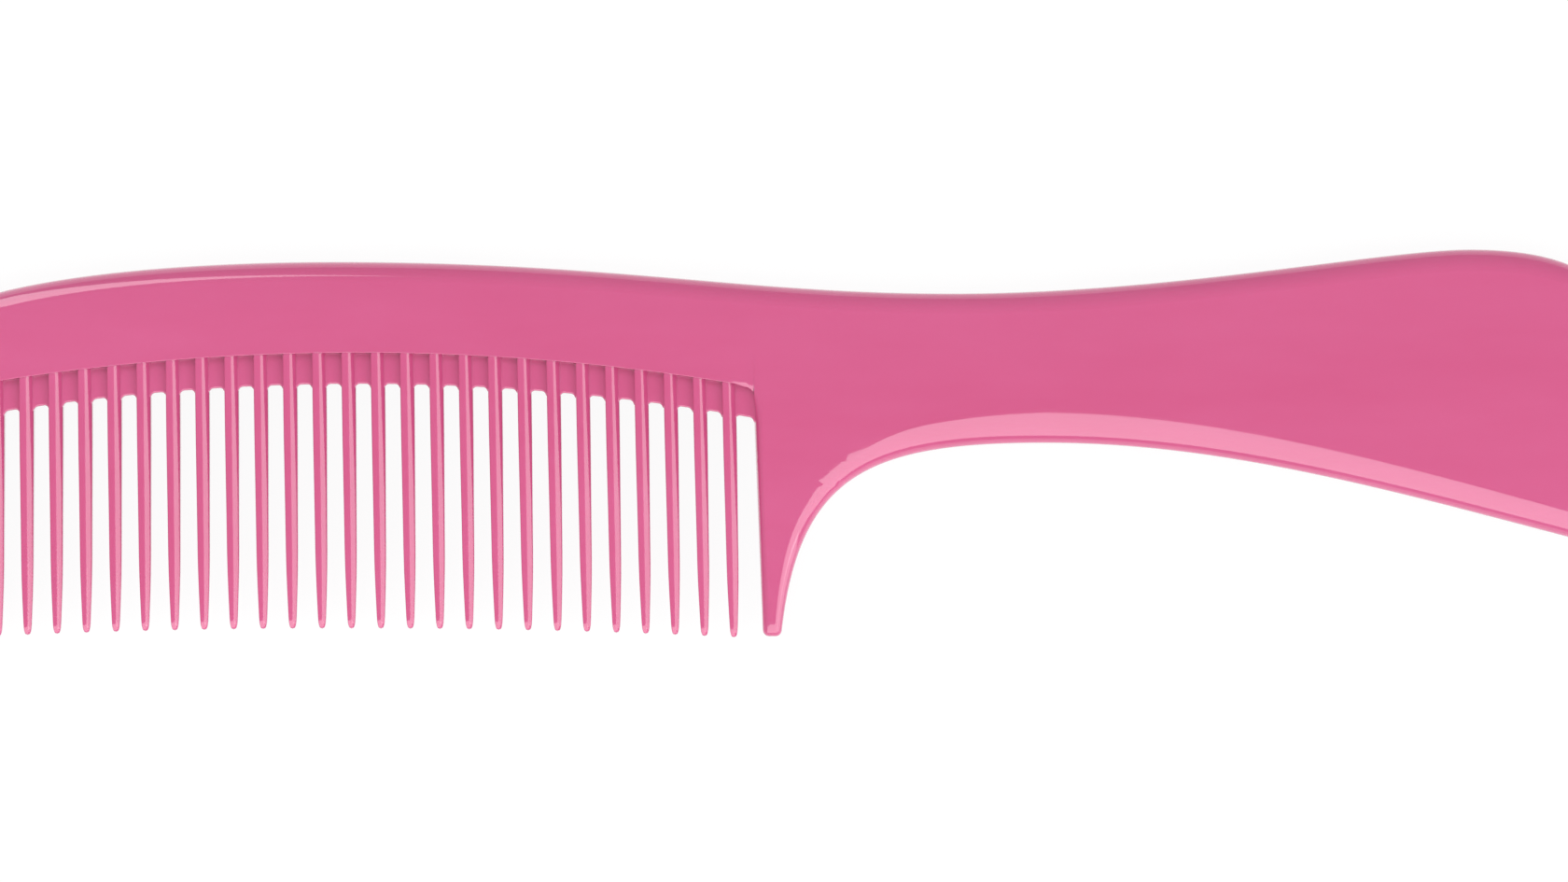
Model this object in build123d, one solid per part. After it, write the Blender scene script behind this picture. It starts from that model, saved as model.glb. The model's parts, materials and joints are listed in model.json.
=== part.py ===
from build123d import *
import math
import os

os.makedirs("parts", exist_ok=True)

# A wide tooth comb with a shaped handle, one moulding that is written as its named features.
# While it is drawn, x runs along the row of teeth to the handle, y runs up from the tips
# to the spine, and z is the thickness, with 0 in the middle of the moulding.

# teeth
tooth_count = 27
tooth_pitch = 3.65
tooth_root_width = 1.78
tooth_shaft_width = 1.52
tooth_neck_width = 1.1
tooth_tip_width = 0.5
tooth_root_depth = 4.2
tooth_tip_depth = 1.3
bullet_length = 9.5        # the last stretch, where a tooth narrows to its tip
nose_length = 2.6
ridge_share = 0.42         # the narrow front of a tooth, as a share of its width
ridge_shift = 0.12         # how far the ridge lies to the left of the tooth's middle
lean_at_handle = 1.15      # degrees, for the tooth nearest the handle
stub_length = 0.6          # how far a tooth's root reaches below the web before its shaft

# the arch of the gap tops, and the flatter arch of the tips
gap_top_height = 31.75
gap_arch_radius = 285.0
gap_arch_x = 1.3
tip_height = 1.2
tip_arch_radius = 1014.0

# spine and the thin web between the tooth roots
thickness = 5.2
edge_radius = 2.0
step_radius = 0.7
spine_depth = 15.3
crest_x = -1.6
web_height = 3.9
web_thickness = 2.6
gap_corner_radius = 0.5
step_corner_radius = 1.2

# end tooth and guard tooth
end_gap = 3.15             # from the middle of the first or last tooth to its wide neighbour
end_tooth_root_width = 5.2
wide_tip_width = 2.4
wide_tip_height = 0.25
wide_tip_depth = 2.0
wide_tip_radius = 0.8
end_tooth_draft = 0.6
guard_draft = 1.1
end_shoulder_rise = 3.45   # above the middle gap's top
end_tooth_drop = 4.75      # where each wide tooth is cut, below the middle gap's top
guard_tooth_drop = 15.75
wide_tooth_steps = 4
tip_inset_share = 0.6      # how far a wide tooth's end draws in, as a share of its corner radius
stub_reach = 4.0           # how far the body is drawn past a cut, so that its edges run through

# handle, with its lengths counted from the guard tooth's side
handle_length = 113.6
neck_top_reach = 24.8
neck_drop = 3.95
neck_low_reach = 36.4
neck_width = 18.7
flare_reach = 89.4
flare_rise = 5.5
end_straight_drop = 26.6
keel_reach = 91.6          # the keel is where the lower edge turns straight
keel_drop = 9.1
keel_slope = -0.262
heel_radius = 9.0

# how far each end of an outline curve runs on in its own direction
shoulder_pull = 8.5
crest_left_pull = 27.1
crest_right_pull = 35.2
neck_left_pull = 26.3
neck_right_pull = 26.9
flare_left_pull = 10.7
flare_right_pull = 13.3
end_pull = 23.0
keel_pull = 20.9
neck_low_pull = 17.6
throat_pull = 22.1
throat_drop = 3.9
throat_lean = 2.3
end_side_pull = 12.0
end_side_lean = 0.9

# the shape of a tooth's nose, and of its section
nose_middle = 0.35         # where the nose is half way to its full width, as a share of its length
nose_depth_share = 0.45    # depth at the very tip, as a share of the depth behind the nose
shoulder_share = 0.31      # half height of a section's full width, as a share of its depth


# ---- places that follow from the sizes above ----

crest_y = gap_top_height + spine_depth
neck_top_y = crest_y - neck_drop
neck_low_y = neck_top_y - neck_width
flare_y = neck_top_y + flare_rise
keel_y = neck_low_y - keel_drop
end_straight_top = flare_y - end_straight_drop
throat_height = neck_low_y - throat_drop
end_shoulder_height = gap_top_height + end_shoulder_rise
end_tooth_top = gap_top_height - end_tooth_drop
guard_tooth_top = gap_top_height - guard_tooth_drop
half_thickness = thickness / 2
first_tooth_x = -tooth_pitch * (tooth_count - 1) / 2
gap_left = first_tooth_x - end_gap
gap_right = -first_tooth_x + end_gap
comb_left = gap_left - end_tooth_root_width
spine_end_x = gap_right
neck_top_x = spine_end_x + neck_top_reach
neck_low_x = spine_end_x + neck_low_reach
flare_x = spine_end_x + flare_reach
keel_x = spine_end_x + keel_reach
handle_end_x = spine_end_x + handle_length
guard_tip_left = gap_right + guard_draft
guard_tip_right = guard_tip_left + wide_tip_width
end_tip_left = gap_left - end_tooth_draft - wide_tip_width


def gap_top(x):
    """Height of the web's lower edge at x."""
    return gap_top_height - (x - gap_arch_x) ** 2 / (2 * gap_arch_radius)


def step_line(x):
    """Height where the web meets the spine's face at x."""
    return gap_top(x) + web_height


def tip_line(x):
    """Height of a tooth's tip at x."""
    return tip_height - x ** 2 / (2 * tip_arch_radius)


def tooth_x(number):
    return first_tooth_x + tooth_pitch * number


def arch_through(height, left, right):
    """An arc over the row of teeth, through the given height rule at three places."""
    middle = (left + right) / 2
    return ThreePointArc((left, height(left)), (middle, height(middle)), (right, height(right)))


# ---- outline curves that more than one feature uses ----

throat = Bezier(
    (guard_tip_right, wide_tip_height + wide_tip_radius),
    (guard_tip_right + throat_lean, throat_height),
    (neck_low_x - throat_pull, neck_low_y),
    (neck_low_x, neck_low_y),
)
end_side = Bezier(
    (end_tip_left, wide_tip_height + wide_tip_radius),
    (end_tip_left - end_side_lean, end_side_pull),
    (comb_left, end_shoulder_height - end_side_pull),
    (comb_left, end_shoulder_height),
)


def share_at(curve, height):
    """The share of a rising curve's length that lies below a height."""
    low, high = 0.0, 1.0
    for _ in range(40):
        middle = (low + high) / 2
        if curve.position_at(middle).Y < height:
            low = middle
        else:
            high = middle
    return low


def side_x(curve, height):
    return curve.position_at(share_at(curve, height)).X


def guard_left(height):
    """The guard tooth's side next to the teeth, with its draft."""
    share = (gap_top(gap_right) - height) / gap_top(gap_right)
    return gap_right + guard_draft * max(share, 0)


def end_right(height):
    """The end tooth's side next to the teeth, with its draft."""
    share = (gap_top(gap_left) - height) / gap_top(gap_left)
    return gap_left - end_tooth_draft * max(share, 0)


def body_outline():
    """Spine and handle in one outline, with stubs of the two wide teeth."""
    guard_low = guard_tooth_top - stub_reach
    end_low = end_tooth_top - stub_reach
    heel_y = keel_y + keel_slope * (handle_end_x - keel_x)
    with BuildSketch() as sketch:
        with BuildLine():
            Bezier((comb_left, end_shoulder_height), (comb_left, end_shoulder_height + shoulder_pull),
                   (crest_x - crest_left_pull, crest_y), (crest_x, crest_y))
            Bezier((crest_x, crest_y), (crest_x + crest_right_pull, crest_y),
                   (neck_top_x - neck_left_pull, neck_top_y), (neck_top_x, neck_top_y))
            Bezier((neck_top_x, neck_top_y), (neck_top_x + neck_right_pull, neck_top_y),
                   (flare_x - flare_left_pull, flare_y), (flare_x, flare_y))
            Bezier((flare_x, flare_y), (flare_x + flare_right_pull, flare_y),
                   (handle_end_x, end_straight_top + end_pull), (handle_end_x, end_straight_top))
            Line((handle_end_x, end_straight_top), (handle_end_x, heel_y))
            Line((handle_end_x, heel_y), (keel_x, keel_y))
            Bezier((keel_x, keel_y), (keel_x - keel_pull, keel_y - keel_pull * keel_slope),
                   (neck_low_x + neck_low_pull, neck_low_y), (neck_low_x, neck_low_y))
            low_x = side_x(throat, guard_low)
            add(throat.trim(share_at(throat, guard_low), 1))
            Line((low_x, guard_low), (guard_left(guard_low), guard_low))
            Line((guard_left(guard_low), guard_low), (gap_right, gap_top(gap_right)))
            Line((gap_right, gap_top(gap_right)), (gap_right, step_line(gap_right)))
            arch_through(step_line, gap_left, gap_right)
            Line((gap_left, step_line(gap_left)), (gap_left, gap_top(gap_left)))
            Line((gap_left, gap_top(gap_left)), (end_right(end_low), end_low))
            Line((end_right(end_low), end_low), (comb_left, end_low))
            Line((comb_left, end_low), (comb_left, end_shoulder_height))
        make_face()
        fillet(sketch.vertices().sort_by_distance((handle_end_x, heel_y))[0], heel_radius)
        for corner_x in (gap_left, gap_right):
            corner = (corner_x, step_line(corner_x))
            fillet(sketch.vertices().sort_by_distance(corner)[0], step_corner_radius)
    return sketch.sketch


def is_step_edge(edge):
    """True for an edge that borders the row of teeth on the front or back face."""
    middle = edge.position_at(0.5)
    beside_teeth = gap_left - end_tooth_draft < middle.X < gap_right + guard_draft
    return beside_teeth and middle.Y < step_line(gap_arch_x) + 0.01


def is_stub_end(edge):
    """True for an edge across the end of a stub, which is cut away later."""
    height = edge.position_at(0.5).Y
    guard_low = guard_tooth_top - stub_reach
    end_low = end_tooth_top - stub_reach
    return min(abs(height - guard_low), abs(height - end_low)) < 0.01


def face_edges(slab):
    """The edges that outline the front and back faces, without the stub ends."""
    outline = []
    for edge in slab.edges():
        on_face = abs(abs(edge.position_at(0.5).Z) - half_thickness) < 0.01
        if on_face and not is_stub_end(edge):
            outline.append(edge)
    return outline


def rounded_body():
    """The body as a slab, with its outer edges well rounded and its step edge eased."""
    slab = extrude(body_outline(), half_thickness, both=True)
    slab = fillet([edge for edge in face_edges(slab) if not is_step_edge(edge)], edge_radius)
    return fillet([edge for edge in face_edges(slab) if is_step_edge(edge)], step_radius)


def tooth_bottom(number):
    return tip_line(tooth_x(number))


def root_cut(number):
    """Height of the flat cut between a tooth's shaft and its root on the spine."""
    return gap_top(tooth_x(number)) - stub_length


def tooth_size(number, height):
    """Width, depth and sideways shift of a tooth at a height."""
    above_tip = height - tooth_bottom(number)
    full = gap_top_height - tip_height
    knots = [
        (0.0, tooth_tip_width),
        (nose_length * nose_middle, (tooth_tip_width + tooth_neck_width) / 2),
        (nose_length, tooth_neck_width),
        (bullet_length, tooth_shaft_width),
        (full, tooth_root_width),
    ]
    width = knots[-1][1]
    for (low, low_width), (high, high_width) in zip(knots, knots[1:]):
        if low <= above_tip <= high:
            width = low_width + (high_width - low_width) * (above_tip - low) / (high - low)
            break
    depth = tooth_tip_depth + (tooth_root_depth - tooth_tip_depth) * min(above_tip / full, 1)
    if above_tip < nose_length:
        behind_nose = (above_tip / nose_length) ** 0.5
        depth = depth * (nose_depth_share + (1 - nose_depth_share) * behind_nose)
    lean = math.radians(lean_at_handle) * number / max(tooth_count - 1, 1)
    shift = math.tan(lean) * (root_cut(number) - height)
    return width, depth, shift


def tooth_section(number, height):
    """A tooth's outline across its length: full width in the middle, a narrow ridge in front."""
    width, depth, shift = tooth_size(number, height)
    ridge = width * ridge_share / 2
    shoulder = min(web_thickness / 2, depth * shoulder_share)
    offset = -width * ridge_shift
    across = Plane(origin=(tooth_x(number) + max(shift, 0), height, 0), x_dir=(1, 0, 0), z_dir=(0, -1, 0))
    corners = [
        (width / 2, -shoulder), (width / 2, shoulder),
        (offset + ridge, depth / 2), (offset - ridge, depth / 2),
        (-width / 2, shoulder), (-width / 2, -shoulder),
        (offset - ridge, -depth / 2), (offset + ridge, -depth / 2),
    ]
    return across * make_face(Polyline(*corners, close=True))


def shaft(number):
    """One free tooth, from its tip to the cut at its root."""
    tip = tooth_bottom(number)
    heights = [tip, tip + nose_length * nose_middle, tip + nose_length, tip + bullet_length, root_cut(number)]
    return loft([tooth_section(number, height) for height in heights], ruled=True)


def root_rib(number):
    """The tooth's root, which runs up over the web into the spine."""
    top = step_line(tooth_x(number)) + step_radius
    return loft([tooth_section(number, root_cut(number)), tooth_section(number, top)], ruled=True)


def gap_edges(number):
    """The left and right side of the gap before a tooth, at its top."""
    left = gap_left
    right = gap_right
    if number > 0:
        left = tooth_x(number - 1) + tooth_root_width / 2
    if number < tooth_count:
        right = tooth_x(number) - tooth_root_width / 2
    return left, right


def web():
    """The thin web between the tooth roots, with a round-topped gap on each side of a tooth."""
    low = gap_top(gap_right) - tooth_pitch
    overlap = edge_radius
    with BuildSketch() as sketch:
        with BuildLine():
            arch_through(lambda x: step_line(x) + overlap, gap_left, gap_right)
            Line((gap_right, step_line(gap_right) + overlap), (gap_right, low))
            Line((gap_right, low), (gap_left, low))
            Line((gap_left, low), (gap_left, step_line(gap_left) + overlap))
        make_face()
        for number in range(tooth_count + 1):
            left, right = gap_edges(number)
            top = gap_top((left + right) / 2)
            bottom = low - 2 * gap_corner_radius
            with Locations(((left + right) / 2, (top + bottom) / 2)):
                RectangleRounded(right - left, top - bottom, gap_corner_radius, mode=Mode.SUBTRACT)
        for number in range(tooth_count):
            bottom = low - 2 * gap_corner_radius
            top = root_cut(number)
            with Locations((tooth_x(number), (top + bottom) / 2)):
                Rectangle(tooth_pitch, top - bottom, mode=Mode.SUBTRACT)
    return extrude(sketch.sketch, web_thickness / 2, both=True)


def wide_section(left, right, height, depth, radius):
    """A rounded section across one of the two wide teeth."""
    across = Plane(origin=((left + right) / 2, height, 0), x_dir=(1, 0, 0), z_dir=(0, -1, 0))
    return across * RectangleRounded(right - left, depth, radius)


def wide_tooth(top, left_at, right_at):
    """The end tooth or the guard tooth, from its cut at the top to its rounded tip."""
    shoulder = wide_tip_height + wide_tip_radius
    sections = []
    for step in range(wide_tooth_steps + 1):
        height = top + (shoulder - top) * step / wide_tooth_steps
        share = (height - shoulder) / (top - shoulder)
        depth = wide_tip_depth + (thickness - wide_tip_depth) * share
        radius = wide_tip_radius + (edge_radius - wide_tip_radius) * share
        sections.append(wide_section(left_at(height), right_at(height), height, depth, radius))
    body_part = loft(sections, ruled=True)
    left = left_at(shoulder)
    right = right_at(shoulder)
    inset = wide_tip_radius * tip_inset_share
    tip = wide_section(left + inset, right - inset, wide_tip_height, wide_tip_depth - 2 * inset, inset / 2)
    return body_part + loft([tip, sections[-1]], ruled=True)


def slab_between(left, right, low, high):
    """A box over the whole thickness, to keep one part of the body."""
    with BuildPart() as box:
        with Locations(((left + right) / 2, (low + high) / 2, 0)):
            Box(right - left, high - low, 2 * thickness)
    return box.part


# ---- the named features ----

body = rounded_body()
far_left = comb_left - thickness
far_right = handle_end_x + thickness
far_up = max(crest_y, flare_y) + thickness

spine = body & slab_between(far_left, spine_end_x, end_tooth_top, far_up)
handle = body & slab_between(spine_end_x, far_right, guard_tooth_top, far_up)
handle += body & slab_between(neck_low_x, far_right, -thickness, guard_tooth_top)

features = {
    "spine": spine + web() + [root_rib(number) for number in range(tooth_count)],
    "handle": handle,
    "end_tooth": wide_tooth(end_tooth_top, lambda y: side_x(end_side, y), end_right),
    "guard_tooth": wide_tooth(guard_tooth_top, guard_left, lambda y: side_x(throat, y)),
}
for number in range(tooth_count):
    features[f"tooth_{number + 1:02d}"] = shaft(number)

# The stored origin is the middle of the lowest face of the whole comb, as it lies flat.
boxes = [shape.bounding_box() for shape in features.values()]
middle_x = (min(box.min.X for box in boxes) + max(box.max.X for box in boxes)) / 2
middle_y = (min(box.min.Y for box in boxes) + max(box.max.Y for box in boxes)) / 2
lowest_z = min(box.min.Z for box in boxes)
to_origin = Location((-middle_x, -middle_y, -lowest_z))

for name, shape in features.items():
    placed = to_origin * Compound(shape.solids())
    export_step(placed, f"parts/{name}.step")
    print(name, len(placed.solids()), "solid,", round(placed.volume, 2), "cubic mm")
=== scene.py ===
import json
import math

import bmesh
import bpy
import numpy as np
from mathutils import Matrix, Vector

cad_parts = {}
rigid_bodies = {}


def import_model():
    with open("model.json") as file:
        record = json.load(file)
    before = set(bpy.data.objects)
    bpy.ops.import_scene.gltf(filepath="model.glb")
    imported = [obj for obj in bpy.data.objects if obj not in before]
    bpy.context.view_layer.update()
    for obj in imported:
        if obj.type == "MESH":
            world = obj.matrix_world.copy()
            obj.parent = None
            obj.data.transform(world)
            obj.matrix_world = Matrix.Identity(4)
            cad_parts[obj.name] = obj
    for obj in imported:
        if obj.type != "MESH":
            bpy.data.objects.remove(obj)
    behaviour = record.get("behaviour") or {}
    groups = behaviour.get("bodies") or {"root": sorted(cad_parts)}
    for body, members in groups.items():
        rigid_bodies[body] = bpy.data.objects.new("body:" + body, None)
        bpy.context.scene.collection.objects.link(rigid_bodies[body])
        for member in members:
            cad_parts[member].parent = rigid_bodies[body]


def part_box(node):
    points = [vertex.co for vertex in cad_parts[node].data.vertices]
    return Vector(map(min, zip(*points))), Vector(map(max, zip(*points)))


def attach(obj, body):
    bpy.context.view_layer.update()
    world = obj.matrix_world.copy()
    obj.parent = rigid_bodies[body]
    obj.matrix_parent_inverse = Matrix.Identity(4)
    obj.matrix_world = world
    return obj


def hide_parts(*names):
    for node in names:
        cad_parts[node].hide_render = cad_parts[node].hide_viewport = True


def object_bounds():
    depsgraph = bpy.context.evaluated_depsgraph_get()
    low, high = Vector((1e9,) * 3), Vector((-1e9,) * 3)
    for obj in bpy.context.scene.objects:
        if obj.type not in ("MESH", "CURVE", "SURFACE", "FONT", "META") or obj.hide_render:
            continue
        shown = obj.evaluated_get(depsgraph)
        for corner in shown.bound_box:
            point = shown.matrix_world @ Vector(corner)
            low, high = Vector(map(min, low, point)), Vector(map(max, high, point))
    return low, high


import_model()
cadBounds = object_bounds()

mm = 0.001
scene = bpy.context.scene
meeting = 1e-4                                                  # ends of runs closer than this are one point
smallest = 1e-12                                                # keeps a length that is divided by above zero

# sizes of the moulding in millimetres, x from the middle of the row of teeth, y from the tips
comb = {
    "left": -55.8, "right": 164.2,
    "gapLeft": -50.6, "gapRight": 50.6,
    "thickness": 5.2,
    "lowestTip": 0.0898,      # height of the tips of the outermost free teeth
    "shoulderY": 35.2,
    "endCut": 27.0,           # height up to which the end tooth has an outline of its own
    "crest": (-1.6, 47.05),
    "neckTop": (75.4, 43.1),
    "flare": (140.0, 48.6),
    "endStraightTop": 22.0,
    "neckLow": (87.0, 24.4),
    "keel": (142.2, 15.3),
    "keelSlope": -0.262,
    "heelRadius": 9.0,
    "tipWidth": 2.4, "tipY": 0.25, "tipRadius": 0.8,
    "guardDraft": 1.1, "endDraft": 0.6,
    "throatHeight": 20.5, "throatLean": 2.3, "endSideLean": 0.9,
    "gapTop": 31.75, "gapArch": 285.0, "gapArchX": 1.3,
    "webHeight": 3.85,
    "cornerRadius": 1.2,
}

# how far each end of an outline curve runs on in its own direction
pulls = {
    "shoulder": 8.5, "crestLeft": 27.1, "crestRight": 35.2,
    "neckLeft": 26.3, "neckRight": 26.9, "neckLow": 17.6,
    "flareLeft": 10.7, "flareRight": 13.3,
    "end": 23.0, "keel": 20.9, "throat": 22.1, "endSide": 12.0,
}

lowCorner = Vector(cadBounds[0])
shiftX = lowCorner.x / mm - comb["left"]                        # comb's own x to the frame's x
shiftY = min(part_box("tooth_01")[0][1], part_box("tooth_27")[0][1]) / mm - comb["lowestTip"]
midZ = comb["thickness"] / 2


def place(x, y, z):
    # a point of the comb's own drawing, in millimetres, as a place in the frame
    return ((x + shiftX) * mm, (y + shiftY) * mm, (z + midZ) * mm)


def gapTop(x):
    return comb["gapTop"] - (x - comb["gapArchX"]) ** 2 / (2 * comb["gapArch"])


def stepLine(x):
    return gapTop(x) + comb["webHeight"]


def bezier(a, b, c, d, count):
    t = np.linspace(0, 1, count)[:, None]
    a, b, c, d = (np.array(p, float) for p in (a, b, c, d))
    return (1 - t) ** 3 * a + 3 * (1 - t) ** 2 * t * b + 3 * (1 - t) * t ** 2 * c + t ** 3 * d


def line(a, b, count):
    t = np.linspace(0, 1, count)[:, None]
    return np.array(a, float) * (1 - t) + np.array(b, float) * t


def arc(centre, radius, fromDegrees, toDegrees, count):
    turn = np.radians(np.linspace(fromDegrees, toDegrees, count))
    return np.stack([centre[0] + radius * np.cos(turn), centre[1] + radius * np.sin(turn)], 1)


def joined(*runs):
    points = [runs[0]]
    for run in runs[1:]:
        points.append(run[1:] if np.allclose(run[0], points[-1][-1], atol=meeting) else run)
    return np.concatenate(points)


# the outline, as a few runs that the strips of the body share
tipTop = comb["tipY"] + comb["tipRadius"]
guardTipLeft = comb["gapRight"] + comb["guardDraft"]
guardTipRight = guardTipLeft + comb["tipWidth"]
endTipRight = comb["gapLeft"] - comb["endDraft"]
endTipLeft = endTipRight - comb["tipWidth"]
tipRound = comb["tipRadius"]
fine = 400                                                      # points along a long run
medium = 200
short = 100

leftX = comb["left"]
rightX = comb["right"]
shoulderY = comb["shoulderY"]
endY = comb["endStraightTop"]
crestX, crestY = comb["crest"]
neckX, neckY = comb["neckTop"]
lowX, lowY = comb["neckLow"]
flareX, flareY = comb["flare"]
keelX, keelY = comb["keel"]

throatRun = bezier((guardTipRight, tipTop), (guardTipRight + comb["throatLean"], comb["throatHeight"]),
                   (lowX - pulls["throat"], lowY), (lowX, lowY), fine)
endSideRun = bezier((endTipLeft, tipTop), (endTipLeft - comb["endSideLean"], pulls["endSide"]),
                    (leftX, shoulderY - pulls["endSide"]), (leftX, shoulderY), fine)
endInnerRun = line((endTipRight, tipTop), (comb["gapLeft"], gapTop(comb["gapLeft"])), medium)
guardInnerRun = line((guardTipLeft, tipTop), (comb["gapRight"], gapTop(comb["gapRight"])), medium)

topRun = joined(
    bezier((leftX, shoulderY), (leftX, shoulderY + pulls["shoulder"]),
           (crestX - pulls["crestLeft"], crestY), (crestX, crestY), fine),
    bezier((crestX, crestY), (crestX + pulls["crestRight"], crestY),
           (neckX - pulls["neckLeft"], neckY), (neckX, neckY), fine),
    bezier((neckX, neckY), (neckX + pulls["neckRight"], neckY),
           (flareX - pulls["flareLeft"], flareY), (flareX, flareY), fine),
    bezier((flareX, flareY), (flareX + pulls["flareRight"], flareY),
           (rightX, endY + pulls["end"]), (rightX, endY), fine),
)

slope = comb["keelSlope"]
cornerY = keelY + slope * (rightX - keelX)
heelAngle = math.pi / 2 + math.atan(slope)                      # inside angle of the heel's corner
heelTrim = comb["heelRadius"] / math.tan(heelAngle / 2)
heelCentre = (rightX - comb["heelRadius"], cornerY + heelTrim)
along = np.array([1, slope]) / math.hypot(1, slope)
heelStart = np.array([rightX, cornerY]) - along * heelTrim
lowRun = joined(
    bezier((lowX, lowY), (lowX + pulls["neckLow"], lowY),
           (keelX - pulls["keel"], keelY - pulls["keel"] * slope), (keelX, keelY), fine),
    line((keelX, keelY), heelStart, short),
    arc(heelCentre, comb["heelRadius"], -90 + math.degrees(math.atan(slope)), 0, 120),
)

corner = comb["cornerRadius"]
cornerLeft = (comb["gapLeft"] + corner, stepLine(comb["gapLeft"]) - corner)
cornerRight = (comb["gapRight"] - corner, stepLine(comb["gapRight"]) - corner)
stepX = np.linspace(cornerLeft[0], cornerRight[0], fine)
endTipArc = arc((endTipRight - tipRound, tipTop), tipRound, -90, 0, 12)
endTipOuterArc = arc((endTipLeft + tipRound, tipTop), tipRound, -90, -180, 12)
guardTipArc = arc((guardTipLeft + tipRound, tipTop), tipRound, -90, -180, 12)
guardTipOuterArc = arc((guardTipRight - tipRound, tipTop), tipRound, -90, 0, 12)
leftCorner = arc(cornerLeft, corner, 180, 90, 24)
rightCorner = arc(cornerRight, corner, 90, 0, 24)
stepRun = np.stack([stepX, stepLine(stepX)], 1)
stepRun[0] = leftCorner[-1]
stepRun[-1] = rightCorner[0]

# how wide the rounding of each edge is, in millimetres, as seen on the face
edges = {"top": 2.2, "low": 4.3, "heel": 3.0, "gap": 0.9, "step": 0.1, "tip": 0.95}

# each run of the outline, all the way round, with the rounding at its start and its end
outlineRuns = [
    (endTipOuterArc, edges["tip"], edges["tip"]),
    (endSideRun, edges["tip"], edges["top"]),
    (topRun, edges["top"], edges["heel"]),
    (line(topRun[-1], lowRun[-1], 8), edges["heel"], edges["heel"]),
    (lowRun[::-1], edges["heel"], edges["low"]),
    (throatRun[::-1], edges["low"], edges["tip"]),
    (guardTipOuterArc[::-1], edges["tip"], edges["tip"]),
    (line(guardTipOuterArc[0], guardTipArc[0], 6), edges["tip"], edges["tip"]),
    (guardTipArc, edges["tip"], edges["tip"]),
    (guardInnerRun, edges["tip"], edges["gap"]),
    (line(guardInnerRun[-1], rightCorner[-1], 12), edges["gap"], edges["step"]),
    (rightCorner[::-1], edges["step"], edges["step"]),
    (stepRun[::-1], edges["step"], edges["step"]),
    (leftCorner[::-1], edges["step"], edges["step"]),
    (line(leftCorner[0], endInnerRun[-1], 12), edges["step"], edges["gap"]),
    (endInnerRun[::-1], edges["gap"], edges["tip"]),
    (endTipArc[::-1], edges["tip"], edges["tip"]),
    (line(endTipArc[0], endTipOuterArc[0], 6), edges["tip"], edges["tip"]),
]
segmentStart = np.concatenate([run[:-1] for run, _, _ in outlineRuns])
segmentEnd = np.concatenate([run[1:] for run, _, _ in outlineRuns])
segmentWidth = np.concatenate([np.linspace(a, b, len(run))[:-1] for run, a, b in outlineRuns])
atOnce = 500                                                    # points measured at a time, to save memory


def edgeDistance(points):
    # distance from each point to the outline, and the rounding width of the edge it is nearest to
    distance = np.empty(len(points))
    width = np.empty(len(points))
    step = segmentEnd - segmentStart
    size = np.maximum((step ** 2).sum(1), smallest)
    for first in range(0, len(points), atOnce):
        part = points[first:first + atOnce]
        offset = part[:, None, :] - segmentStart[None]
        share = np.clip((offset * step[None]).sum(2) / size[None], 0, 1)
        gap = offset - share[:, :, None] * step[None]
        length = np.sqrt((gap ** 2).sum(2))
        nearest = length.argmin(1)
        distance[first:first + atOnce] = length.min(1)
        width[first:first + atOnce] = segmentWidth[nearest]
    return distance, width


body = {
    "half": 2.58,             # half thickness in the middle of the face
    "crown": 0.2,             # how much of it is the gentle crown across the face
    "tipHalf": 0.95,          # half thickness at the tips of the two wide teeth
    "wedgeTop": 27.0,         # height where the teeth's wedge reaches full thickness
    "fadeStart": 5, "fadeEnd": 8,   # where the wedge ends: past the gaps, and before the neck
    "edgeRows": 9, "faceRows": 14,
    "holdRow": 0.05,          # an extra row just past each rounding, so that the face stays flat up to it
    "mostRounding": 0.4, "mostHold": 0.4,   # as shares of the space they have
}


def smooth(low, high, value):
    t = np.clip((value - low) / (high - low), 0, 1)
    return t * t * (3 - 2 * t)


onOutline = 1e-5                                                # closer to the outline than this is on it


def halfThickness(points, across):
    # the rule for the whole moulding: rounded edges, a soft crown and a wedge towards the tips
    distance, width = edgeDistance(points)
    rim = np.sqrt(np.maximum(1 - (1 - np.clip(distance / width, 0, 1)) ** 2, 0))
    full = body["half"] - body["crown"]
    wedgeHalf = body["tipHalf"] + (full - body["tipHalf"]) * np.clip(points[:, 1] / body["wedgeTop"], 0, 1)
    handleShare = smooth(comb["gapRight"] + body["fadeStart"], lowX - body["fadeEnd"], points[:, 0])
    half = wedgeHalf + (full - wedgeHalf) * handleShare
    high = half * rim + body["crown"] * np.sin(np.pi * across) ** 2 * rim
    return np.where(distance < onOutline, 0, high)


def atLengths(run, shares):
    length = np.concatenate([[0], np.cumsum(np.linalg.norm(np.diff(run, axis=0), axis=1))])
    where = np.array(shares) * length[-1]
    return np.stack([np.interp(where, length, run[:, 0]), np.interp(where, length, run[:, 1])], 1)


def between(run, start, end):
    first = np.linalg.norm(run - np.array(start), axis=1).argmin()
    last = np.linalg.norm(run - np.array(end), axis=1).argmin()
    return run[first:last + 1]


def topAt(x):
    return topRun[np.abs(topRun[:, 0] - x).argmin()]


def atHeight(run, y):
    return run[np.abs(run[:, 1] - y).argmin()]


def evenly(count):
    return np.linspace(0, 1, count)


def closing(count):
    return np.sin(np.linspace(0, math.pi / 2, count))


def opening(count):
    return 1 - np.cos(np.linspace(0, math.pi / 2, count))


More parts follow.
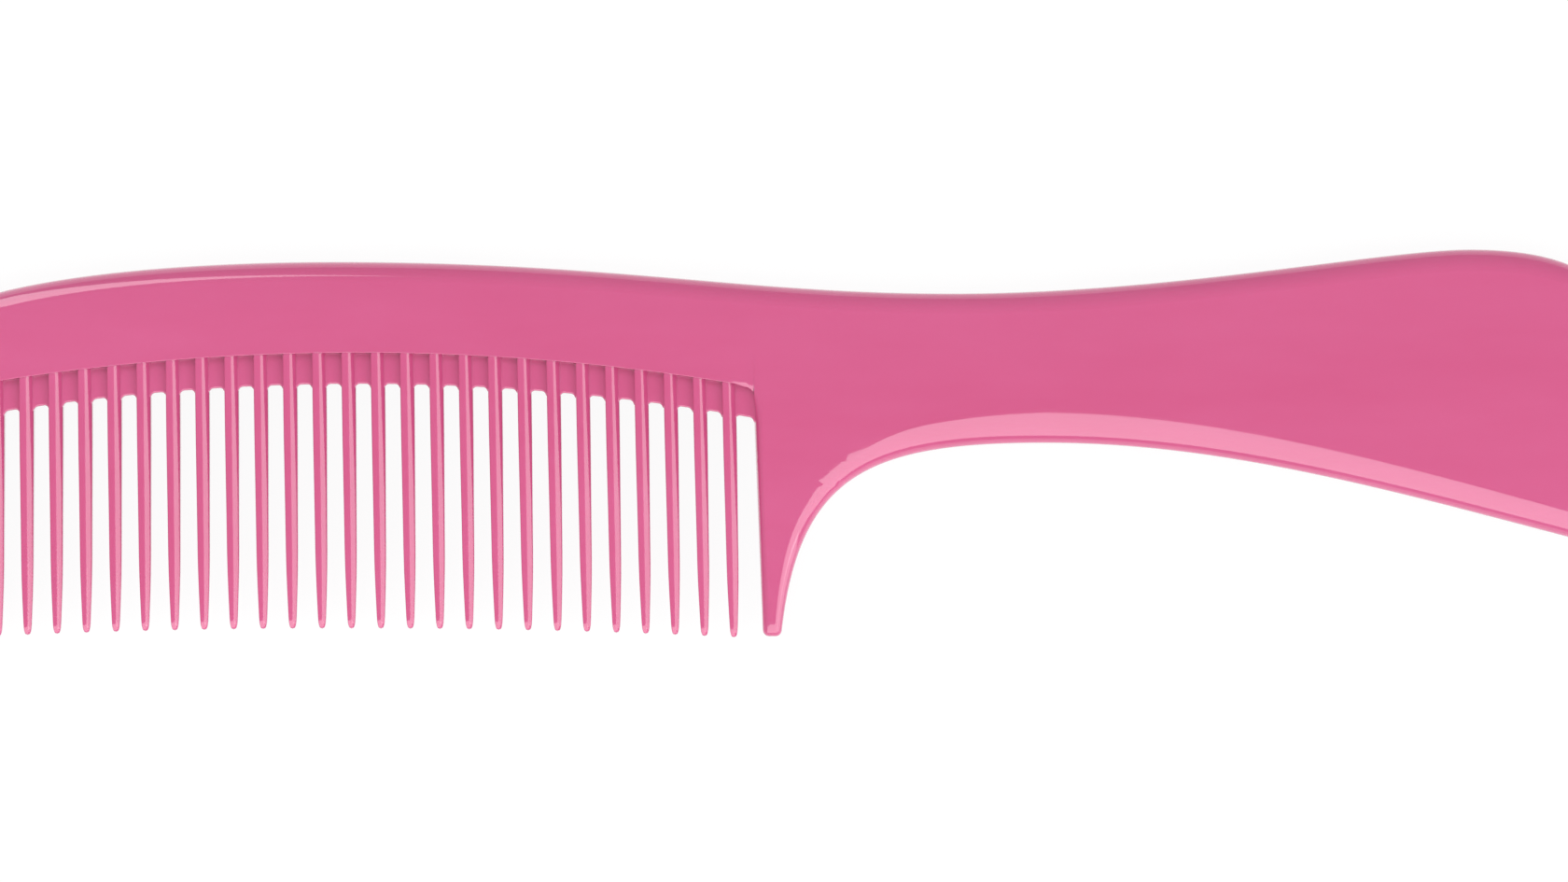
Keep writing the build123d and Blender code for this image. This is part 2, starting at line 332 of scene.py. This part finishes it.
def rowShares(length, startWidth, endWidth):
    # rows across a strip, close together over each rounded edge
    a = min(startWidth, body["mostRounding"] * length)
    b = min(endWidth, body["mostRounding"] * length)
    ease = 1 - np.cos(np.linspace(0, math.pi / 2, body["edgeRows"]))
    middle = np.linspace(a, length - b, body["faceRows"] + 2)[1:-1]
    hold = min(body["holdRow"], body["mostHold"] * (middle[0] - a))
    middle = np.concatenate([[a + hold], middle, [length - b - hold]])
    return np.concatenate([a * ease, middle, (length - b * ease)[::-1]]) / length


# where the guard tooth's strip meets the body's: a slanted line between these two heights
cutHeights = {"guard": 21.0, "throat": 19.5}
guardCut = atHeight(guardInnerRun, cutHeights["guard"])
throatCut = atHeight(throatRun, cutHeights["throat"])
cutShares = rowShares(np.linalg.norm(throatCut - guardCut), edges["gap"], edges["low"])

# the x at which the rungs from each section's end reach the top edge
rungTop = {
    "leftCorner": -46.0, "step": 48.4, "rightCorner": 50.2,
    "guardCut": 54.0, "throatCut": 62.0, "heel": 149.0,
}
endCut = (leftX, comb["endCut"])
guardBend = between(guardInnerRun[::-1], guardInnerRun[-1], guardCut)

# each section has an inner run, the outer run across from it, and where its rungs stand on the two
mainSections = [
    (endTipArc, endTipOuterArc, opening(9)),
    (endInnerRun, between(endSideRun, endSideRun[0], endCut), evenly(26)),
    (line(endInnerRun[-1], leftCorner[0], 10), between(endSideRun, endCut, endSideRun[-1]), evenly(5)),
    (leftCorner, between(topRun, topRun[0], topAt(rungTop["leftCorner"])), evenly(22)),
    (stepRun, between(topRun, topAt(rungTop["leftCorner"]), topAt(rungTop["step"])), evenly(80)),
    (rightCorner, between(topRun, topAt(rungTop["step"]), topAt(rungTop["rightCorner"])), evenly(7)),
    (joined(line(rightCorner[-1], guardInnerRun[-1], 10), guardBend),
     between(topRun, topAt(rungTop["rightCorner"]), topAt(rungTop["guardCut"])), evenly(10)),
    (line(guardCut, throatCut, 60),
     between(topRun, topAt(rungTop["guardCut"]), topAt(rungTop["throatCut"])), cutShares),
    (between(throatRun, throatCut, throatRun[-1]),
     between(topRun, topAt(rungTop["throatCut"]), topAt(lowX)), evenly(34)),
    (between(lowRun, lowRun[0], (keelX, keelY)), between(topRun, topAt(lowX), topAt(flareX)), evenly(44)),
    (between(lowRun, (keelX, keelY), heelStart),
     between(topRun, topAt(flareX), topAt(rungTop["heel"])), evenly(9)),
    (between(lowRun, heelStart, lowRun[-1]),
     between(topRun, topAt(rungTop["heel"]), topRun[-1]), closing(40)),
]
guardSections = [
    (between(guardInnerRun, guardInnerRun[0], guardCut)[::-1],
     between(throatRun, throatRun[0], throatCut)[::-1], evenly(26)),
    (guardTipArc[::-1], guardTipOuterArc[::-1], closing(9)),
]


def stripGrid(sections):
    # one grid of points for a strip: its rungs run from the inner edge to the outer one
    rungs = []
    for inner, outer, shares in sections:
        rungs.append(np.stack([atLengths(inner, shares), atLengths(outer, shares)], 1))
    stations = [rungs[0]] + [rung[1:] for rung in rungs[1:]]
    stations = np.concatenate(stations)
    _, innerWidth = edgeDistance(stations[:, 0])
    _, outerWidth = edgeDistance(stations[:, 1])
    grid = []
    for (start, end), a, b in zip(stations, innerWidth, outerWidth):
        length = np.linalg.norm(end - start)
        shares = rowShares(length, a, b)
        grid.append([(start + (end - start) * share, share) for share in shares])
    points = np.array([[cell[0] for cell in row] for row in grid])
    across = np.array([[cell[1] for cell in row] for row in grid])
    return points, across


def addStrip(mesh, points, across, crowned):
    stations, rows, _ = points.shape
    flat = points.reshape(-1, 2)
    share = across.reshape(-1) if crowned else np.zeros(len(flat))
    half = halfThickness(flat, share).reshape(stations, rows)
    for side in (1, -1):
        corners = []
        for i in range(stations):
            corners.append([mesh.verts.new(place(*points[i, j], side * half[i, j])) for j in range(rows)])
        for i in range(stations - 1):
            for j in range(rows - 1):
                quad = (corners[i][j], corners[i + 1][j], corners[i + 1][j + 1], corners[i][j + 1])
                mesh.faces.new(quad)


samePoint = 2e-6                                                # metres
noEdge = 1e-7


def finishMesh(mesh, name, material):
    bmesh.ops.remove_doubles(mesh, verts=mesh.verts, dist=samePoint)
    bmesh.ops.dissolve_degenerate(mesh, edges=mesh.edges, dist=noEdge)
    bmesh.ops.recalc_face_normals(mesh, faces=mesh.faces)
    data = bpy.data.meshes.new(name)
    mesh.to_mesh(data)
    mesh.free()
    for face in data.polygons:
        face.use_smooth = True
    data.materials.append(material)
    piece = bpy.data.objects.new(name, data)
    scene.collection.objects.link(piece)
    return piece


class Value:
    # wraps a socket, so that shader maths reads as an expression
    def __init__(self, shader, socket):
        self.shader = shader
        self.socket = socket

    def maths(self, operation, *others):
        values = {i + 1: other for i, other in enumerate(others)}
        values[0] = self
        return self.shader.node("ShaderNodeMath", {"operation": operation}, values).out("Value")

    def __add__(self, other):
        return self.maths("ADD", other)

    def __mul__(self, other):
        return self.maths("MULTIPLY", other)

    __radd__ = __add__
    __rmul__ = __mul__


class Node:
    def __init__(self, shader, node):
        self.shader = shader
        self.node = node

    def out(self, name):
        return Value(self.shader, self.node.outputs[name])


class Shader:
    def __init__(self, name):
        self.material = bpy.data.materials.new(name)
        self.material.use_nodes = True
        self.tree = self.material.node_tree
        self.tree.nodes.clear()

    def mix(self, mask, low, high):
        made = self.tree.nodes.new("ShaderNodeMix")
        made.data_type = "RGBA"
        self.tree.links.new(mask.socket, made.inputs[0])
        made.inputs[6].default_value = low
        made.inputs[7].default_value = high
        return Value(self, made.outputs[2])

    def node(self, kind, settings, values):
        made = self.tree.nodes.new(kind)
        for key, setting in settings.items():
            setattr(made, key, setting)
        for key, value in values.items():
            if isinstance(value, Value):
                self.tree.links.new(value.socket, made.inputs[key])
            else:
                made.inputs[key].default_value = value
        return Node(self, made)


plastic = {
    "color": (0.505, 0.079, 0.202, 1), "deepColor": (0.48, 0.065, 0.178, 1),
    "roughness": 0.09, "roughnessSpread": 0.08,
    "ior": 1.5, "coat": 1.0, "coatRoughness": 0.04,
    "subsurface": 0.12, "subsurfaceRadius": (1.0, 0.35, 0.5), "subsurfaceScale": 0.0012,
    # scale and detail of each pattern
    "cloud": (38.0, 3.0), "flow": (260.0, 4.0), "scratch": (900.0, 5.0), "grain": (2600.0, 2.0),
    "flowStretch": (0.25, 1.0, 1.0),      # the flow and the clouds run along the comb
    "scratchStretch": (0.06, 1.0, 1.0), "scratchTurn": (0, 0, 0.5),
    "cloudShare": 0.7, "cloudRange": (0.35, 0.65), "scratchRange": (0.45, 0.75),
    "bumpShares": {"flow": 0.6, "grain": 0.15, "scratch": 0.25},
    "bumpStrength": 0.05, "bumpDistance": 0.00006,
}


def makePlastic():
    shader = Shader("combPlastic")
    where = shader.node("ShaderNodeTexCoord", {}, {}).out("Object")

    def mapped(values):
        return shader.node("ShaderNodeMapping", {}, {"Vector": where, **values}).out("Vector")

    def noise(vector, scale, detail):
        values = {"Vector": vector, "Scale": scale, "Detail": detail}
        return shader.node("ShaderNodeTexNoise", {}, values).out("Fac")

    def spread(value, low, high, newLow=0.0, newHigh=1.0):
        values = {"Value": value, "From Min": low, "From Max": high, "To Min": newLow, "To Max": newHigh}
        return shader.node("ShaderNodeMapRange", {}, values).out("Result")

    stretched = mapped({"Scale": plastic["flowStretch"]})
    brushed = mapped({"Rotation": plastic["scratchTurn"], "Scale": plastic["scratchStretch"]})
    cloud = noise(stretched, *plastic["cloud"])
    flow = noise(stretched, *plastic["flow"])
    scratch = noise(brushed, *plastic["scratch"])
    grain = noise(where, *plastic["grain"])
    patches = cloud * plastic["cloudShare"] + flow * (1 - plastic["cloudShare"])
    color = shader.mix(spread(patches, *plastic["cloudRange"]), plastic["deepColor"], plastic["color"])
    roughest = plastic["roughness"] + plastic["roughnessSpread"]
    rough = spread(scratch, *plastic["scratchRange"], plastic["roughness"], roughest)
    shares = plastic["bumpShares"]
    height = flow * shares["flow"] + grain * shares["grain"] + scratch * shares["scratch"]
    bump = shader.node("ShaderNodeBump", {}, {
        "Strength": plastic["bumpStrength"], "Distance": plastic["bumpDistance"], "Height": height,
    }).out("Normal")
    surface = shader.node("ShaderNodeBsdfPrincipled", {}, {
        "Base Color": color, "Roughness": rough, "Normal": bump, "IOR": plastic["ior"],
        "Coat Weight": plastic["coat"], "Coat Roughness": plastic["coatRoughness"],
        "Subsurface Weight": plastic["subsurface"], "Subsurface Radius": plastic["subsurfaceRadius"],
        "Subsurface Scale": plastic["subsurfaceScale"],
    }).out("BSDF")
    shader.node("ShaderNodeOutputMaterial", {}, {"Surface": surface})
    return shader.material


# the body: spine, handle and the two wide teeth in one surface
combPlastic = makePlastic()
mesh = bmesh.new()
mainPoints, mainAcross = stripGrid(mainSections)
addStrip(mesh, mainPoints, mainAcross, True)
guardPoints, guardAcross = stripGrid(guardSections)
guardPoints[0] = guardCut + (throatCut - guardCut) * cutShares[:, None]
addStrip(mesh, guardPoints, guardAcross, False)
combBody = finishMesh(mesh, "combBody", combPlastic)
print("body:", len(combBody.data.polygons), "faces")


teeth = {
    "count": 27, "pitch": 3.65,
    "rootWidth": 1.78,
    "lean": 1.15,             # degrees, for the tooth nearest the handle
    "tipHeight": 1.2, "tipArch": 1014.0,
    "intoSpine": 1.6,         # how far a tooth's root runs up under the spine's face
    "rootHalf": 2.36, "tipHalf": 0.66,      # half thickness at the two ends of a tooth
}
firstX = -teeth["pitch"] * (teeth["count"] - 1) / 2

# the thin web between the roots of the teeth
web = {
    "half": 1.4,
    "corner": 0.55,           # rounding on each side of a gap
    "edge": 0.25, "edgePoints": 7,
    "squareness": 0.55,       # 1 is a round lower edge, and less is a squarer one
    "into": 2.2,              # how far it runs up into the spine
    "past": 0.6,              # how far it runs into the two wide teeth
    "step": 0.15,
}


def webLow(x):
    # the web's lower edge: the arch of the gap tops, with a rounded corner beside each tooth
    number = np.clip(np.round((x - firstX) / teeth["pitch"]), 0, teeth["count"] - 1)
    fromTooth = np.abs(x - firstX - number * teeth["pitch"]) - teeth["rootWidth"] / 2
    fromSide = np.minimum(comb["gapRight"] - x, x - comb["gapLeft"])
    near = np.clip(np.minimum(fromTooth, fromSide), 0, web["corner"])
    drop = web["corner"] - np.sqrt(web["corner"] ** 2 - (web["corner"] - near) ** 2)
    return gapTop(x) - drop


def makeWeb():
    mesh = bmesh.new()
    xs = np.arange(comb["gapLeft"] - web["past"], comb["gapRight"] + web["past"], web["step"])
    turn = np.linspace(-math.pi / 2, math.pi / 2, 2 * web["edgePoints"] + 1)
    rings = []
    for x in xs:
        low = float(webLow(np.array(x)))
        high = stepLine(x) + web["into"]
        ring = [(high, -web["half"]), ((high + low) / 2, -web["half"])]
        for angle in turn:
            outward = math.copysign(abs(math.sin(angle)) ** web["squareness"], math.sin(angle))
            inward = 1 - max(math.cos(angle), 0) ** web["squareness"]
            ring.append((low + web["edge"] * inward, web["half"] * outward))
        ring += [((high + low) / 2, web["half"]), (high, web["half"])]
        rings.append([mesh.verts.new(place(x, y, z)) for y, z in ring])
    size = len(rings[0])
    for a, b in zip(rings, rings[1:]):
        for k in range(size):
            mesh.faces.new((a[k], a[(k + 1) % size], b[(k + 1) % size], b[k]))
    mesh.faces.new(rings[0])
    mesh.faces.new(rings[-1][::-1])
    return finishMesh(mesh, "rootWeb", combPlastic)


rootWeb = makeWeb()
print("web:", len(rootWeb.data.polygons), "faces")


# one free tooth, which the row repeats
tooth = {
    "length": 37.0,           # from its tip to the top of its root inside the spine
    # distance from the tip, and the width there
    "widths": [(0, 0.30), (0.12, 0.52), (0.35, 0.74), (0.8, 0.92), (1.6, 1.03), (2.8, 1.12), (5.1, 1.29),
               (7.5, 1.43), (9.8, 1.51), (15.0, 1.58), (20.0, 1.66), (25.0, 1.74), (31.0, 1.78),
               (37.0, 1.78)],
    "rows": 44, "rowEase": 1.6,             # rows stand closer together towards the tip
    "noseLength": 1.1, "noseShare": 0.35,   # the half thickness draws in to this share at the tip
    "tipPoint": 0.12,                       # the last ring stands this far from the tip
    # the front of a section's corners, as shares of the width and of the half thickness
    "corners": [(0.5, 0.62), (0.0, 1.0), (-0.44, 1.0), (-0.5, 0.82)],
    "rounding": 0.22, "cornerPoints": 4,
}


def roundedSection(corners):
    # each corner is a short curve between points on its two sides
    section = []
    count = len(corners)
    for i in range(count):
        here = np.array(corners[i], float)
        before = np.array(corners[i - 1], float)
        after = np.array(corners[(i + 1) % count], float)
        start = here + (before - here) * tooth["rounding"]
        end = here + (after - here) * tooth["rounding"]
        for t in np.linspace(0, 1, tooth["cornerPoints"]):
            section.append((1 - t) ** 2 * start + 2 * (1 - t) * t * here + t ** 2 * end)
    return np.array(section)


def makeToothMesh():
    mesh = bmesh.new()
    length = tooth["length"]
    ease = np.linspace(0, 1, tooth["rows"]) ** tooth["rowEase"]
    back = [(x, -z) for x, z in tooth["corners"][::-1]]
    section = roundedSection(tooth["corners"] + back)
    knots = np.array(tooth["widths"])
    rings = []
    for s in ease * length:
        width = np.interp(s, knots[:, 0], knots[:, 1])
        half = teeth["tipHalf"] + (teeth["rootHalf"] - teeth["tipHalf"]) * s / length
        nose = min(s / tooth["noseLength"], 1)
        half = half * (tooth["noseShare"] + (1 - tooth["noseShare"]) * math.sqrt(1 - (1 - nose) ** 2))
        y = (max(s, tooth["tipPoint"]) - length) * mm
        rings.append([mesh.verts.new((x * width * mm, y, z * half * mm)) for x, z in section])
    size = len(section)
    for a, b in zip(rings, rings[1:]):
        for k in range(size):
            mesh.faces.new((a[k], a[(k + 1) % size], b[(k + 1) % size], b[k]))
    for ring, inward in ((rings[0], -tooth["tipPoint"]), (rings[-1], 0)):
        middle = sum((vert.co for vert in ring), Vector()) / size
        tip = mesh.verts.new((middle.x, middle.y + inward * mm, middle.z))
        for k in range(size):
            mesh.faces.new((ring[k], ring[(k + 1) % size], tip))
    return finishMesh(mesh, "toothShape", combPlastic)


def makeToothRow(shape):
    tree = bpy.data.node_groups.new("toothRow", "GeometryNodeTree")
    inputs = {}
    tree.interface.new_socket("Geometry", in_out="INPUT", socket_type="NodeSocketGeometry")
    rootHeight = comb["gapTop"] + comb["webHeight"] + teeth["intoSpine"]
    wanted = [
        ("Count", "NodeSocketInt", teeth["count"]),
        ("Pitch", "NodeSocketFloat", teeth["pitch"] * mm),
        ("First X", "NodeSocketFloat", (firstX + shiftX) * mm),
        ("Arch X", "NodeSocketFloat", (comb["gapArchX"] + shiftX) * mm),
        ("Arch Radius", "NodeSocketFloat", comb["gapArch"] * mm),
        ("Root Height", "NodeSocketFloat", (rootHeight + shiftY) * mm),
        ("Tip X", "NodeSocketFloat", shiftX * mm),
        ("Tip Radius", "NodeSocketFloat", teeth["tipArch"] * mm),
        ("Tip Height", "NodeSocketFloat", (teeth["tipHeight"] + shiftY) * mm),
        ("Shape Length", "NodeSocketFloat", tooth["length"] * mm),
        ("Middle Z", "NodeSocketFloat", midZ * mm),
        ("Lean", "NodeSocketFloat", math.radians(teeth["lean"])),
        ("Shape", "NodeSocketObject", shape),
        ("Finish", "NodeSocketMaterial", combPlastic),
    ]
    for name, kind, value in wanted:
        inputs[tree.interface.new_socket(name, in_out="INPUT", socket_type=kind).identifier] = value
    tree.interface.new_socket("Geometry", in_out="OUTPUT", socket_type="NodeSocketGeometry")
    start = tree.nodes.new("NodeGroupInput")

    def node(kind, settings, links):
        made = tree.nodes.new(kind)
        for key, setting in settings.items():
            setattr(made, key, setting)
        for key, value in links.items():
            if isinstance(value, bpy.types.NodeSocket):
                tree.links.new(value, made.inputs[key])
            else:
                made.inputs[key].default_value = value
        return made

    def maths(operation, a, b=0.0):
        return node("ShaderNodeMath", {"operation": operation}, {0: a, 1: b}).outputs[0]

    def archHeight(x, middle, radius, top):
        away = maths("SUBTRACT", x, middle)
        drop = maths("DIVIDE", maths("MULTIPLY", away, away), maths("MULTIPLY", radius, 2.0))
        return maths("SUBTRACT", top, drop)

    socket = start.outputs
    index = node("GeometryNodeInputIndex", {}, {}).outputs[0]
    x = maths("ADD", socket["First X"], maths("MULTIPLY", index, socket["Pitch"]))
    rootY = archHeight(x, socket["Arch X"], socket["Arch Radius"], socket["Root Height"])
    tipY = archHeight(x, socket["Tip X"], socket["Tip Radius"], socket["Tip Height"])
    stretch = maths("DIVIDE", maths("SUBTRACT", rootY, tipY), socket["Shape Length"])
    lean = maths("DIVIDE", maths("MULTIPLY", index, socket["Lean"]), maths("SUBTRACT", socket["Count"], 1.0))
    spot = node("ShaderNodeCombineXYZ", {}, {"X": x, "Y": rootY, "Z": socket["Middle Z"]}).outputs[0]
    size = node("ShaderNodeCombineXYZ", {}, {"X": 1.0, "Y": stretch, "Z": 1.0}).outputs[0]
    turn = node("ShaderNodeCombineXYZ", {}, {"X": 0.0, "Y": 0.0, "Z": lean}).outputs[0]
    row = node("GeometryNodeMeshLine", {}, {"Count": socket["Count"]}).outputs[0]
    placed = node("GeometryNodeSetPosition", {}, {"Geometry": row, "Position": spot}).outputs[0]
    source = node("GeometryNodeObjectInfo", {}, {"Object": socket["Shape"]}).outputs["Geometry"]
    copies = node("GeometryNodeInstanceOnPoints", {}, {
        "Points": placed, "Instance": source, "Rotation": turn, "Scale": size,
    }).outputs[0]
    real = node("GeometryNodeRealizeInstances", {}, {"Geometry": copies}).outputs[0]
    finish = node("GeometryNodeSetMaterial", {}, {"Geometry": real, "Material": socket["Finish"]}).outputs[0]
    tree.links.new(finish, tree.nodes.new("NodeGroupOutput").inputs[0])

    carrier = bpy.data.objects.new("toothCarrier", bpy.data.meshes.new("toothCarrier"))
    scene.collection.objects.link(carrier)
    modifier = carrier.modifiers.new("toothRow", "NODES")
    modifier.node_group = tree
    for identifier, value in inputs.items():
        modifier[identifier] = value
    result = carrier.evaluated_get(bpy.context.evaluated_depsgraph_get())
    data = bpy.data.meshes.new_from_object(result)
    data.name = "teeth"
    carrier.modifiers.clear()
    bpy.data.objects.remove(carrier)
    bpy.data.objects.remove(shape)
    piece = bpy.data.objects.new("teeth", data)
    scene.collection.objects.link(piece)
    return piece


teethPiece = makeToothRow(makeToothMesh())
print("teeth:", len(teethPiece.data.polygons), "faces")

for piece in (combBody, rootWeb, teethPiece):
    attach(piece, "root")
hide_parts("spine", "handle", "end_tooth", "guard_tooth")
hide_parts(*[f"tooth_{number:02d}" for number in range(1, teeth["count"] + 1)])


# floor, light and camera
stage = {"size": 6.0, "color": (0.9, 0.9, 0.9, 1), "seen": 0.93}     # seen is how much of it is plain white
studio = {"color": (0.95, 0.95, 0.95, 1), "strength": 0.45}
view = {"x": 54.36, "y": 24.66, "distance": 920.0, "frameWidth": 195.9, "sensor": 36.0, "clipStart": 0.01}
lamps = {
    # name: place around the comb in metres, size along X and across, power in watts
    "lowSoftbox": ((0.05, -0.40, 0.446), (1.3, 0.69), 6.0),
    "topLeft": ((-0.42, 0.42, 0.45), (0.6, 0.6), 2.8),
    "topRight": ((0.75, 0.45, 0.50), (0.4, 0.4), 1.0),
    "right": ((0.95, -0.05, 0.40), (0.8, 0.8), 4.0),
}


def makeFloor():
    mesh = bmesh.new()
    bmesh.ops.create_grid(mesh, x_segments=1, y_segments=1, size=stage["size"] / 2)
    floor = finishMesh(mesh, "floor", makeFloorMaterial())


def makeFloorMaterial():
    shader = Shader("paleFloor")
    path = shader.node("ShaderNodeLightPath", {}, {})
    plain = shader.node("ShaderNodeBsdfDiffuse", {}, {"Color": stage["color"]}).out("BSDF")
    bright = shader.node("ShaderNodeEmission", {}, {"Color": (1, 1, 1, 1), "Strength": 1.0}).out("Emission")
    reflected = path.out("Is Glossy Ray")
    through = path.out("Is Transmission Ray")
    seen = path.out("Is Camera Ray") * stage["seen"] + reflected + through
    surface = shader.node("ShaderNodeMixShader", {}, {0: seen, 1: plain, 2: bright}).out("Shader")
    shader.node("ShaderNodeOutputMaterial", {}, {"Surface": surface})
    return shader.material


def makeLamp(name, spot, size, power):
    lamp = bpy.data.lights.new(name, "AREA")
    lamp.shape = "RECTANGLE"
    lamp.size, lamp.size_y = size
    lamp.energy = power
    holder = bpy.data.objects.new(name, lamp)
    holder.location = spot
    holder.rotation_euler = (-Vector(spot)).to_track_quat("-Z", "Y").to_euler()
    scene.collection.objects.link(holder)


def makeWorld():
    world = bpy.data.worlds.new("studio")
    world.use_nodes = True
    background = world.node_tree.nodes["Background"]
    background.inputs["Color"].default_value = studio["color"]
    background.inputs["Strength"].default_value = studio["strength"]
    scene.world = world


def makeCamera():
    lens = bpy.data.cameras.new("camera")
    lens.sensor_width = view["sensor"]
    lens.lens = view["sensor"] * view["distance"] / view["frameWidth"]
    lens.clip_start = view["clipStart"]
    camera = bpy.data.objects.new("camera", lens)
    camera.location = place(view["x"], view["y"], view["distance"])
    scene.collection.objects.link(camera)
    scene.camera = camera


makeFloor()
for name, (spot, size, power) in lamps.items():
    makeLamp(name, spot, size, power)
makeWorld()
makeCamera()
scene.view_settings.view_transform = "Standard"
